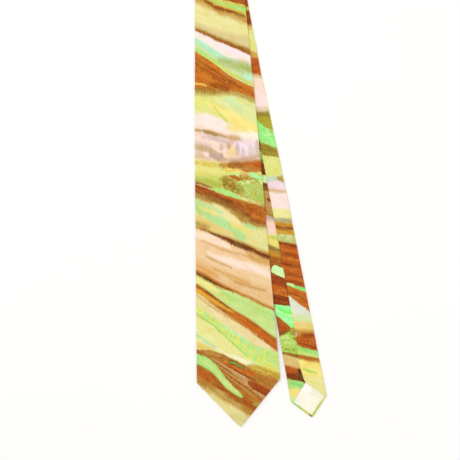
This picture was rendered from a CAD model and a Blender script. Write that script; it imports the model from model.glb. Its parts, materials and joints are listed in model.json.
"""The looks of a wide printed necktie that lies folded in half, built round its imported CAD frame.

Lengths are in millimetres and are turned into metres where a mesh, a texture or the frame needs
them. A place on a leg of the tie is (g, y, w): g across it towards world +X, y from the crease of
the fold towards the tip, and w through it from its front face to its back.
"""

import json

from math import atan2, cos, exp, hypot, pi, radians, sin, sqrt

import bmesh
import bpy
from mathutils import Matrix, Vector, noise


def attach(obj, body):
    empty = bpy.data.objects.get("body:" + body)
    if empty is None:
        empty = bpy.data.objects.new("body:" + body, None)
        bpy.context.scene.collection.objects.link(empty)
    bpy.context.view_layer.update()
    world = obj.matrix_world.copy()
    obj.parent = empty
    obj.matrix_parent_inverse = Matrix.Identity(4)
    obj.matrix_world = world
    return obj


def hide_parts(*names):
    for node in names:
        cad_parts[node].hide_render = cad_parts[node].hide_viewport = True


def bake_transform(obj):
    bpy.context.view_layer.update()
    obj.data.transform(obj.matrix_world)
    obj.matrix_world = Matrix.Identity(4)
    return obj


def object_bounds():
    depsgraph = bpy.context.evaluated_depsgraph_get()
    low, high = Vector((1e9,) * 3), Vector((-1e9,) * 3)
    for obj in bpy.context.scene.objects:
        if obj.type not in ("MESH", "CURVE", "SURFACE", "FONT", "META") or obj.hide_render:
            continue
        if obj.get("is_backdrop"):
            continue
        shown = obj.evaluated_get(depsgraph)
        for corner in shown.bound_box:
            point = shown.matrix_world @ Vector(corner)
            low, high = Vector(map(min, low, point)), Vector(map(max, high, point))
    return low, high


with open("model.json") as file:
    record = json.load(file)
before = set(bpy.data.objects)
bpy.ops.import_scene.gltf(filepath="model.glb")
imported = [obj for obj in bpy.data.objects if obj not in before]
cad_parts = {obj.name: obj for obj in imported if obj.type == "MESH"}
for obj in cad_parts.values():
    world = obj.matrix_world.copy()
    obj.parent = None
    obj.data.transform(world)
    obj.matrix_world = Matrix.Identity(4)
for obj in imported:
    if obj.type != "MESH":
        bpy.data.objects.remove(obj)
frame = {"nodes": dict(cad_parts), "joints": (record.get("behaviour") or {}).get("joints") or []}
cad_low, cad_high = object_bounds()

MM = 0.001
FOLD_OPEN = next(j for j in frame["joints"] if j["name"] == "fold_open")
FOLD_X = FOLD_OPEN["pos_m"][0] / MM
FOLD_Y = FOLD_OPEN["pos_m"][1] / MM
BEND = FOLD_OPEN["pos_m"][2] / MM  # outer radius of the fold

# ---------------------------------------------------------------- sizes of the cloth

BLADE_LENGTH = 680.0
BLADE_WIDTHS = [(0, 24.8), (132, 31.7), (298, 40.3), (620, 53.2)]
BLADE_ANGLE = 2.8
TAIL_LENGTH = 678.0
TAIL_WIDTHS = [(0, 24.8), (135, 16.5), (235, 16.6), (390, 20.3), (653.6, 23.0)]
TAIL_ANGLE = 10.6
FOLD_ANGLE = (BLADE_ANGLE + TAIL_ANGLE) / 2

HEIGHT = 2.0  # of one pressed leg
CLOTH = 0.35
LINING_TOP = 1.6  # back face of the tipping
INTERLINING_TOP = 1.4
TIP_RADIUS = 2.6
APEX_RISE = 0.96
HEM_BORDER = 2.2
HEM_TURN = 7.0  # cloth turned under at the upper flap's edge
OVERLAP = 1.0  # how far the upper flap laps past the centre
APEX_OVERLAP = 2.6  # and how much more above the diamond
UNDERLAP = 5.5
LOWER_DIP = 0.25  # how much the lower flap sinks under the upper one
MOUTH_RISE = 0.25  # how much the lower flap's edge stands up beside the diamond
SEAM_RISE = 0.45  # how much the folded hem stands up along the centre seam
SEAM_WIDE = 8.0
SEAM_DISTANCE = 95.0  # from the crease to the middle of each bias seam
SEAM_FADE = 60.0
FOLD_END = 6.0  # how far the bent cloth of the fold runs on along each leg
SWIVEL = 32.0
TAIL_TACK = 109.0  # from the tip
BLADE_TACK = 162.0
TAIL_TACK_SIZE = (1.6, 5.0)  # across and along the seam
BLADE_TACK_SIZE = (8.0, 1.2)

KEEPER_FROM_TIP = 216.0
KEEPER_HALF = 27.0
KEEPER_BAND = 12.0
KEEPER_CLOTH = 0.5
KEEPER_SLACK = 0.55  # how far it stands off the blade's back
KEEPER_SEWN = 2.5  # from its ends to its tacks
KEEPER_PRINT = (120.0, 300.0)  # width of the print, and the height in it, that its cloth shows
MAKER_FROM_TIP = 262.0
MAKER_LABEL = (58.0, 24.0, 0.25)
CARE_LABEL = (11.6, 11.6, 0.2)
LABEL_CLEAR = 0.9  # between the care label and the flap's edge
CARE_CURL = 0.2  # how far the care label's free corner is lifted

THREAD = 0.22  # radius
FINE_THREAD = THREAD * 0.7
STITCH = 2.4  # length
STITCH_PITCH = 3.6
SLIP_STITCH = 4.0
SLIP_PITCH = 14.0
HEM_PITCH = 5.0
TACK_PITCH = 0.62
TACK_REACH = 0.5  # how much longer a tack's stitches are than its bar is wide
STITCH_DEPTH = 0.25  # how far a stitch's ends go into the cloth

INTERLINING_THICK = 0.95
INTERLINING_INSET = 1.3  # from the leg's edges
TIPPING_THICK = 0.16
TIPPING_INSET = 0.9

# how far the blade's front is lifted by what lies under it
TAIL_LIFT = 2.75
SEAM_LIFT = 0.55
KEEPER_LIFT = 1.2
LABEL_LIFT = 0.46

STRAIGHT = 45.0  # from the crease to where each leg has taken its own direction
EDGE_WAVE = 0.4  # how far the long edges wander
TAIL_RIPPLE = 0.18
BLADE_RIPPLES = (0.25, 0.7, 0.12)  # mean height, long waves and short waves


def smooth(low, high, value):
    """0 below low, 1 above high, and a soft step between."""
    t = min(1.0, max(0.0, (value - low) / (high - low)))
    return t * t * (3 - 2 * t)


def mix(a, b, share):
    """From a to b."""
    return a + (b - a) * share


# ---------------------------------------------------------------- camera

VIEW_CENTRE = (-39.2, -88.9)
VIEW_SIDE = 589.0
CAMERA_HEIGHT = 2400.0
SENSOR = 36.0

camera_data = bpy.data.cameras.new("camera")
camera_data.sensor_width = SENSOR
camera_data.lens = SENSOR * CAMERA_HEIGHT / VIEW_SIDE
camera = bpy.data.objects.new("camera", camera_data)
camera.location = (VIEW_CENTRE[0] * MM, VIEW_CENTRE[1] * MM, CAMERA_HEIGHT * MM)
bpy.context.scene.collection.objects.link(camera)
bpy.context.scene.camera = camera
bpy.context.scene.view_settings.view_transform = "Standard"

# ---------------------------------------------------------------- the two legs


class Leg:
    """One half of the tie: its outline on the cloth, and where that cloth lies in the world."""

    def __init__(self, angle, length, widths, slant):
        self.angle = angle
        self.length = length
        self.widths = widths
        self.slant = slant  # of the bias seam: millimetres of y for each of g
        self.run = Vector((sin(radians(angle)), -cos(radians(angle)), 0))
        self.across = Vector((cos(radians(angle)), sin(radians(angle)), 0))
        self.shoulder, self.wide = widths[-1]
        self.point = length - self.shoulder
        self.apex = self.shoulder - APEX_RISE * self.wide
        half_angle = atan2(self.wide, self.point)
        self.arc_middle = length - TIP_RADIUS / sin(half_angle)
        self.arc_start = self.arc_middle + TIP_RADIUS * sin(half_angle)
        self.end = self.arc_middle + TIP_RADIUS

    def full(self, y):
        """Half width of the leg, carried on straight past its shoulders."""
        for (y0, w0), (y1, w1) in zip(self.widths, self.widths[1:]):
            if y <= y1:
                return w0 + (w1 - w0) * (y - y0) / (y1 - y0)
        return self.wide

    def half(self, y):
        """Half width of the leg, with its point."""
        if y > self.arc_start:
            return sqrt(max(0.0, TIP_RADIUS**2 - (y - self.arc_middle) ** 2))
        if y > self.shoulder:
            return self.wide * (self.length - y) / self.point
        wave = EDGE_WAVE * noise.noise(Vector((y / 45.0, self.length, 3.1)))
        return self.full(y) + wave * smooth(30, 90, y) * (1 - smooth(0.9, 1, y / self.shoulder))

    def mouth(self, y):
        """Half width of the diamond between the flaps and the hem. Negative above its apex."""
        diagonal = (y - self.apex) * (self.wide - HEM_BORDER) / (self.shoulder - self.apex)
        border = HEM_BORDER * hypot(self.wide, self.point) / self.point
        return min(diagonal, max(0.0, self.half(y) - border))

    def flat(self, g, y):
        """The place in the table's plane, as world x and y."""
        turn = radians(self.angle - FOLD_ANGLE) * (1 - smooth(FOLD_END, STRAIGHT, y))
        across = g * cos(turn) - y * sin(turn)
        along = y * cos(turn) + g * sin(turn)
        place = self.run * along + self.across * across
        return FOLD_X + place.x, FOLD_Y + place.y


class Tail(Leg):
    """The narrow half: flat on the table with its back up."""

    def place(self, g, y, w):
        """The point of the world at a place on the leg."""
        x, depth = self.flat(g, y)
        ripple = TAIL_RIPPLE * noise.noise(Vector((g / 24.0, y / 55.0, 1.7))) * smooth(25, 70, y)
        return Vector((x, depth, w + ripple * w / HEIGHT))


class Blade(Leg):
    """The wide half: front up, draped from the fold over the tail and down to the table."""

    def ground(self, g, y):
        """Height of its back face, which rests on the tail, the table, its own seam and keeper."""
        x, depth = self.flat(g, y)
        offset = Vector((x - FOLD_X, depth - FOLD_Y, 0))
        along = offset.dot(tail.run)
        lateral = offset.dot(tail.across)
        edge = tail.full(min(max(along, 0), tail.shoulder))
        over = smooth(-19, 1, lateral + edge) * (1 - smooth(-1, 15, lateral - edge))
        seam = SEAM_LIFT * exp(-((g / 15.0) ** 2)) * (1 - smooth(self.apex - 15, self.apex + 10, y))
        from_keeper = abs(y - (self.length - KEEPER_FROM_TIP))
        keeper = KEEPER_LIFT * (1 - smooth(21, 44, abs(g))) * (1 - smooth(7, 34, from_keeper))
        from_label = abs(y - (self.length - MAKER_FROM_TIP))
        label = LABEL_LIFT * (1 - smooth(29, 42, abs(g))) * (1 - smooth(12, 28, from_label))
        lift = sqrt((TAIL_LIFT * over) ** 2 + seam**2 + keeper**2 + label**2)
        held = 1 - smooth(FOLD_END, mix(150, 95, over), y)
        return mix(lift, 2 * BEND - HEIGHT, held)

    def ripple(self, g, y):
        """Long shallow waves where the cloth isn't pressed quite flat."""
        wave = noise.noise(Vector((g / 50.0, y / 90.0, 7.3)))
        fine = noise.noise(Vector((g / 16.0, y / 28.0, 2.9)))
        mean, long_waves, short_waves = BLADE_RIPPLES
        return max(0.0, mean + long_waves * wave + short_waves * fine) * smooth(20, 80, y)

    def place(self, g, y, w):
        """The point of the world at a place on the leg, which the table holds up."""
        x, depth = self.flat(g, y)
        ripple = self.ripple(g, y) * (1 - w / (2 * HEIGHT))
        height = self.ground(g, y) + HEIGHT - w + ripple
        return Vector((x, depth, max(0.0, height)))


tail = Tail(TAIL_ANGLE, TAIL_LENGTH, TAIL_WIDTHS, -1)
blade = Blade(BLADE_ANGLE, BLADE_LENGTH, BLADE_WIDTHS, 1)


# ---------------------------------------------------------------- materials


def colour(rgb):
    """A display colour, 0 to 255 a channel, as the linear colour that shaders use."""
    shares = [c / 255 for c in rgb]
    return (*[c / 12.92 if c <= 0.04045 else ((c + 0.055) / 1.055) ** 2.4 for c in shares], 1.0)


class Paint:
    """A material being made. A method adds a node and returns the socket that it gives, or links
    a socket to the shader."""

    def __init__(self, name, **settings):
        self.material = bpy.data.materials.new(name)
        self.material.use_nodes = True
        self.tree = self.material.node_tree
        self.shader = self.tree.nodes["Principled BSDF"]
        for socket, value in settings.items():
            self.shader.inputs[socket.replace("_", " ")].default_value = value

    def add(self, kind, inputs, output=0, **settings):
        node = self.tree.nodes.new(kind)
        for key, value in settings.items():
            setattr(node, key, value)
        for key, value in inputs.items():
            if isinstance(value, bpy.types.NodeSocket):
                self.tree.links.new(value, node.inputs[key])
            else:
                node.inputs[key].default_value = value
        return node.outputs[output]

    def calc(self, operation, *values):
        return self.add("ShaderNodeMath", dict(enumerate(values)), operation=operation)

    def uv(self, name):
        return self.add("ShaderNodeUVMap", {}, uv_map=name)

    def turned(self, place, degrees, long, short):
        """Coordinates along and across a direction, in units of long and short millimetres."""
        inputs = {
            "Vector": place,
            "Rotation": (0, 0, radians(degrees)),
            "Scale": (long * MM, short * MM, MM),
        }
        return self.add("ShaderNodeMapping", inputs, vector_type="TEXTURE")

    def noise(self, place, detail=2.0, roughness=0.5):
        inputs = {"Vector": place, "Scale": 1.0, "Detail": detail, "Roughness": roughness}
        return self.add("ShaderNodeTexNoise", inputs, noise_dimensions="2D")

    def step(self, value, low, high, start=0.0, end=1.0):
        inputs = {"Value": value, "From Min": low, "From Max": high, "To Min": start, "To Max": end}
        return self.add("ShaderNodeMapRange", inputs, interpolation_type="SMOOTHSTEP")

    def mix(self, share, below, above):
        inputs = {0: share, 6: below, 7: above}
        return self.add("ShaderNodeMix", inputs, 2, data_type="RGBA")

    def bump(self, height, distance, strength=1.0):
        inputs = {"Height": height, "Distance": distance * MM, "Strength": strength}
        normal = self.add("ShaderNodeBump", inputs)
        self.tree.links.new(normal, self.shader.inputs["Normal"])

    def base(self, value):
        self.tree.links.new(value, self.shader.inputs["Base Color"])

    def roughness(self, value):
        self.tree.links.new(value, self.shader.inputs["Roughness"])


class Print(Paint):
    """The tie's printed cloth: a watercolour of wood-like bands and brush strokes. They are placed
    by q, 0 to 1 across the leg as seen, and up, the millimetres above its tip."""

    TALL = 760.0  # heights go into the curves as a share of this
    GONE = -8.0  # half thickness past a stroke's end, so that nothing of it is left

    def __init__(self, name, start, turn, bleed=3.4):
        super().__init__(name, Sheen_Weight=0.03, Sheen_Roughness=0.4, Specular_IOR_Level=0.12)
        self.seen = self.uv("seen")
        self.streak = self.noise(self.turned(self.seen, turn, 26, 2.2), 3.0, 0.6)
        self.fibre = self.noise(self.turned(self.seen, turn, 9, 0.8), 2.0, 0.6)
        self.feather = self.noise(self.turned(self.seen, 90, 9, 0.8), 2.0, 0.6)
        self.mottle = self.noise(self.turned(self.seen, turn, 3.4, 2.2), 3.0, 0.7)
        self.blotch = self.noise(self.turned(self.seen, turn, 7, 5), 4.0, 0.75)
        self.cloud = self.noise(self.turned(self.seen, turn, 20, 9), 3.0, 0.6)
        warp = self.centred(self.streak, 1.8)
        for pattern, reach in ((self.cloud, 4.0), (self.feather, bleed), (self.mottle, 1.2)):
            warp = self.calc("ADD", warp, self.centred(pattern, reach))
        parts = self.tree.nodes.new("ShaderNodeSeparateXYZ")
        self.tree.links.new(self.uv("print"), parts.inputs[0])
        self.q = parts.outputs[0]
        self.up = self.calc("MULTIPLY_ADD", parts.outputs[1], 1000.0, warp)
        self.shade = self.add("ShaderNodeRGB", {})
        self.shade.default_value = colour(start)

    def centred(self, pattern, reach):
        """A noise from 0 to 1 as one from minus to plus half its reach."""
        return self.calc("MULTIPLY_ADD", pattern, reach, -reach / 2)

    def curve(self, pairs, low, high):
        """A smooth line through (q, value) pairs, as a value for each place across the leg."""
        spots = [(min(1.0, max(0.0, q)), (value - low) / (high - low)) for q, value in pairs]
        socket = self.add("ShaderNodeFloatCurve", {"Value": self.q})
        mapping = socket.node.mapping
        line = mapping.curves[0]
        line.points[0].location = spots[0]
        line.points[1].location = spots[-1]
        for spot in spots[1:-1]:
            line.points.new(*spot)
        for point in line.points:
            point.handle_type = "AUTO_CLAMPED"
        mapping.update()
        return self.calc("MULTIPLY_ADD", socket, high - low, low)

    def edge(self, line, rgb, soft=1.6):
        """Everything below a line of (q, up) takes this colour."""
        depth = self.calc("SUBTRACT", self.curve(line, 0.0, self.TALL), self.up)
        share = self.step(depth, -soft, soft)
        self.shade = self.mix(share, self.shade, colour(rgb))

    def stroke(self, line, rgb, soft=1.2, cover=1.0, broken=0.0):
        """A brush stroke along (q, up, half thickness). Its ends taper, or run off the edge.
        broken is the share of it that is missing, from 0 to 1."""
        middle = self.curve([(q, up) for q, up, half in line], 0.0, self.TALL)
        body = [(q, half) for q, up, half in line]
        q0, q1 = body[0][0], body[-1][0]
        if q0 > 0:
            body = [(max(0.0, q0 - 0.05), self.GONE), (max(0.001, q0 - 0.012), -soft), *body]
        if q1 < 1:
            body = [*body, (min(0.999, q1 + 0.012), -soft), (min(1.0, q1 + 0.05), self.GONE)]
        half = self.curve(body, -10.0, 40.0)
        away = self.calc("ABSOLUTE", self.calc("SUBTRACT", self.up, middle))
        share = self.step(self.calc("SUBTRACT", half, away), -soft, soft, 0.0, cover)
        if broken:
            gaps = self.step(self.blotch, 0.36 + 0.2 * broken, 0.42 + 0.2 * broken)
            share = self.calc("MULTIPLY", share, gaps)
        self.shade = self.mix(share, self.shade, colour(rgb))

    def feathers(self, line, pale, bright, turn=108):
        """A stroke made of short barbs of two colours."""
        before = self.shade
        barbs = self.noise(self.turned(self.seen, turn, 22, 2.4), 2.0, 0.6)
        both = self.mix(self.step(barbs, 0.4, 0.6), colour(pale), colour(bright))
        self.stroke(line, pale, soft=2.0)
        share = self.shade.node.inputs[0].links[0].from_socket
        self.shade = self.mix(share, before, both)

    def golden(self, shade):
        """The same colour with less blue where it is dark, so that the browns turn golden."""
        parts = self.tree.nodes.new("ShaderNodeSeparateColor")
        self.tree.links.new(shade, parts.inputs[0])
        red, green, blue = parts.outputs
        keep = self.step(blue, 0.02, 0.24, 0.68, 1.0)
        whole = self.add("ShaderNodeCombineColor", {})
        inputs = whole.node.inputs
        self.tree.links.new(red, inputs[0])
        self.tree.links.new(self.calc("MULTIPLY", green, 1.02), inputs[1])
        self.tree.links.new(self.calc("MULTIPLY", blue, keep), inputs[2])
        return whole

    def done(self):
        """Uneven dye, wood-like streaks and the twill of the cloth over the finished print."""
        grain = self.calc("MULTIPLY_ADD", self.streak, 0.7, 0.82)
        fine = self.centred(self.fibre, 0.6)
        rise = self.centred(self.feather, 0.8)
        patch = self.centred(self.cloud, 0.5)
        gamma = self.calc("ADD", self.calc("ADD", grain, fine), self.calc("ADD", rise, patch))
        shade = self.add("ShaderNodeGamma", {"Color": self.shade, "Gamma": gamma})
        wash = self.step(self.cloud, 0.5, 0.75, 0.0, 0.16)
        shade = self.mix(wash, shade, colour((226, 184, 112)))
        drops = self.step(self.mottle, 0.6, 0.78, 0.0, 0.14)
        shade = self.mix(drops, shade, colour((206, 232, 150)))
        weave = self.uv("weave")
        inputs = {"Vector": self.turned(weave, 63, 1, 1), "Scale": 0.4, "Distortion": 0.6}
        twill = self.add("ShaderNodeTexWave", inputs, wave_type="BANDS", bands_direction="X")
        yarn = self.noise(self.turned(weave, 45, 3.0, 0.35), 1.0)
        self.base(self.golden(shade))
        self.roughness(self.calc("MULTIPLY_ADD", yarn, 0.16, 0.58))
        self.bump(self.calc("ADD", twill, self.calc("MULTIPLY", yarn, 0.6)), 0.03, 0.5)
        return self.material


WOOD = (200, 118, 42)
CREAM = (238, 228, 164)
PINK = (253, 233, 226)
LEAF = (182, 226, 132)
MINT = (190, 236, 200)


def blade_top(paint):
    """The blade's print from the bias seam down to the pink and cream patch."""
    paint.edge([(0, 600), (1, 582)], (190, 205, 120), 4)
    paint.edge([(0, 590), (1, 570)], (240, 228, 190), 4)
    paint.edge([(0, 577), (0.5, 566), (1, 556)], (176, 98, 40), 3)
    paint.stroke([(0, 571, 1.2), (1, 549, 1.2)], (224, 168, 90))
    paint.edge([(0, 566), (0.25, 553), (0.6, 545), (1, 536)], LEAF, 1.6)
    paint.stroke([(0.3, 551, 0.8), (0.6, 545, 1.6), (1, 538, 1.2)], (222, 214, 118), 1.4)
    paint.edge([(0, 556), (0.25, 546), (0.5, 540), (0.75, 533), (1, 525)], CREAM, 1.6)
    paint.stroke([(0, 551, 5), (0.15, 548, 5), (0.3, 543, 4), (0.45, 538, 1)], (206, 164, 88), 5)
    paint.stroke([(0.2, 546, 3), (0.45, 535, 5), (0.7, 529, 4), (1, 519, 4)], (206, 160, 88), 4.4)
    brown = [(0.16, 550, 1), (0.3, 543, 2.6), (0.42, 538, 3.4), (0.6, 535, 2.6), (0.98, 525, 1.2)]
    paint.stroke(brown, (158, 94, 38), 2)
    paint.stroke([(0.36, 542, 0.6), (0.55, 539, 0.9), (1, 528, 1)], (238, 180, 84), 0.9)
    paint.edge([(0, 522), (0.5, 508), (1, 500)], (226, 208, 154), 4)
    paint.edge([(0, 516), (0.3, 506), (0.6, 496), (1, 484)], (192, 156, 94), 3)
    paint.edge([(0, 514), (0.3, 504), (0.6, 494), (1, 482)], (168, 106, 42), 1.4)
    paint.edge([(0, 510), (0.3, 500), (0.6, 489), (1, 475)], PINK, 1.6)
    paint.stroke([(0.4, 491, 2), (0.7, 481, 3), (0.95, 473, 3)], (252, 230, 234), 3)
    paint.stroke([(0.8, 470, 1), (0.9, 468, 3), (0.96, 467, 1)], (253, 222, 198), 2.4)
    paint.edge([(0, 502), (0.3, 488), (0.6, 473), (0.9, 465), (1, 463)], MINT, 2.4)
    paint.edge([(0, 495), (0.3, 480), (0.6, 464), (0.85, 456), (1, 452)], (212, 226, 172), 3)
    paint.stroke([(0.4, 472, 1), (0.7, 464, 6), (0.88, 460, 7), (1, 457, 6)], (186, 196, 128), 5)
    paint.stroke([(0.82, 448, 1), (0.93, 446, 4), (1, 445, 5)], (196, 238, 204), 3.4)
    paint.stroke([(0, 487, 2), (0.2, 479, 2), (0.5, 462, 1.2)], (184, 228, 132), 1.6)
    paint.stroke([(0, 484, 1), (0.4, 465, 1.3), (0.7, 450, 1.6), (1, 438, 1.6)], (222, 218, 104), 1.1)
    paint.edge([(0, 484), (0.25, 472), (0.5, 457), (0.75, 444), (1, 434)], WOOD, 0.9)
    paint.stroke([(0, 481, 0.6), (0.5, 454, 0.6), (1, 431, 0.6)], (232, 150, 66), 0.9, 0.7)
    paint.stroke([(0, 474, 0.7), (0.3, 460, 0.9), (0.7, 440, 0.8)], (150, 76, 26), 1, 0.8)
    paint.stroke([(0, 469, 0.6), (0.35, 452, 0.8), (0.8, 434, 0.8)], (146, 74, 26), 1, 0.9)
    paint.stroke([(0.1, 459, 1), (0.4, 446, 1.5), (0.6, 436, 1)], (158, 80, 28), 1.6, 0.7)
    paint.stroke([(0, 456, 3), (0.2, 450, 4), (0.35, 444, 2)], (214, 132, 52), 3, 0.7)
    paint.stroke([(0.25, 441, 1), (0.4, 437, 4), (0.6, 433, 2)], (160, 84, 28), 2.4, 0.8)
    paint.stroke([(0, 443, 1.1), (0.08, 442, 0.8), (0.2, 438, 0.3)], (250, 220, 120), 0.9)
    paint.edge([(0, 435), (0.3, 431), (0.6, 430), (1, 420)], (196, 170, 104), 3.2)
    paint.stroke([(0, 436, 3), (0.2, 433, 3), (0.45, 431, 2)], (176, 132, 66), 3, 0.8)


def blade_pink(paint):
    """The pale patch: yellow-green above, then pink, mauve and peach."""
    paint.edge([(0, 428), (0.3, 426), (0.6, 424), (1, 414)], (232, 230, 152), 3)
    paint.stroke([(0.35, 423, 3), (0.6, 414, 9), (1, 400, 12)], (230, 232, 168), 6)
    paint.stroke([(0.48, 421, 1), (0.58, 418, 4), (0.68, 415, 1)], (210, 232, 176), 4)
    paint.stroke([(0.66, 412, 1), (0.72, 410, 4), (0.78, 408, 1)], (212, 232, 180), 4)
    paint.stroke([(0, 421, 3), (0.15, 418, 4), (0.25, 415, 2)], (234, 230, 132), 4)
    pink_top = [(0, 404), (0.3, 401), (0.5, 391), (0.7, 380), (0.85, 376), (1, 371)]
    paint.edge(pink_top, PINK, 3)
    yellow = [(0.2, 418, 1), (0.34, 411, 4), (0.5, 402, 6), (0.7, 391, 9), (0.9, 380, 9), (1, 376, 8)]
    paint.stroke(yellow, (251, 232, 150), 4)
    paint.stroke([(0.32, 412, 1), (0.4, 403, 2), (0.53, 392, 1)], (214, 218, 128), 2.2)
    paint.stroke([(0.5, 386, 1), (0.62, 382, 4), (0.74, 378, 2)], (249, 226, 158), 4)
    paint.edge([(0, 388), (0.3, 383), (0.5, 377), (1, 362)], (251, 222, 198), 3.4)
    paint.edge([(0, 384), (0.3, 379), (0.5, 374), (1, 358)], (238, 212, 200), 2.4)
    paint.stroke([(0, 384, 1.4), (0.2, 381, 1.6), (0.34, 377, 1.8), (0.5, 372, 1)], (196, 162, 118), 2)
    paint.stroke([(0.14, 381, 0.4), (0.25, 378, 1.8), (0.36, 375, 0.4)], (176, 140, 82), 2.4)
    paint.stroke([(0, 376, 4), (0.2, 370, 4), (0.42, 363, 3)], (253, 224, 208), 3)
    paint.stroke([(0.1, 374, 1), (0.35, 370, 2.6), (0.6, 364, 1)], (224, 198, 196), 2.8)
    paint.stroke([(0.5, 372, 1), (0.62, 370, 4), (0.76, 368, 1)], (216, 180, 134), 3.6)
    paint.stroke([(0.7, 374, 1), (0.88, 371, 5), (1, 369, 6)], (254, 240, 226), 4)
    paint.stroke([(0.6, 359, 3), (0.78, 358, 10), (0.96, 357, 7)], (247, 226, 234), 4.4)
    paint.stroke([(0.9, 352, 4), (1, 352, 9)], (232, 208, 198), 4)
    paint.stroke([(0, 362, 3), (0.15, 358, 5), (0.36, 353, 2)], (204, 170, 124), 3.4, 0.8)
    paint.stroke([(0, 350, 2), (0.1, 350, 3), (0.24, 348, 2)], (220, 184, 130), 3.4, 0.8)
    paint.stroke([(0.26, 362, 1), (0.38, 358, 5), (0.48, 355, 2)], (252, 224, 214), 3)
    paint.stroke([(0.12, 353, 1), (0.18, 351, 3), (0.24, 350, 1)], (252, 224, 216), 2.6)
    paint.stroke([(0.22, 350, 2), (0.38, 348, 4), (0.5, 347, 2)], (202, 172, 154), 3)
    paint.stroke([(0.5, 358, 2), (0.57, 355, 7), (0.64, 352, 2)], (249, 218, 170), 3)
    paint.stroke([(0.43, 350, 1), (0.48, 349, 4), (0.53, 348, 1)], (250, 218, 188), 2.6)
    for q, up, half, rgb in (
        (0.41, 360, 5, (224, 190, 178)),
        (0.53, 361, 5, (214, 178, 152)),
        (0.66, 356, 8, (214, 184, 176)),
        (0.74, 350, 7, (224, 196, 192)),
        (0.86, 352, 9, (228, 202, 200)),
        (0.97, 358, 9, (222, 192, 176)),
    ):
        line = [(q - 0.03, up, half / 2), (q, up, half), (q + 0.03, up, half / 2)]
        paint.stroke(line, rgb, 3, 0.8)
    paint.stroke([(0.3, 344, 0.5), (0.6, 343, 1.4), (1, 346, 2)], (206, 166, 130), 3, 0.8)


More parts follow.
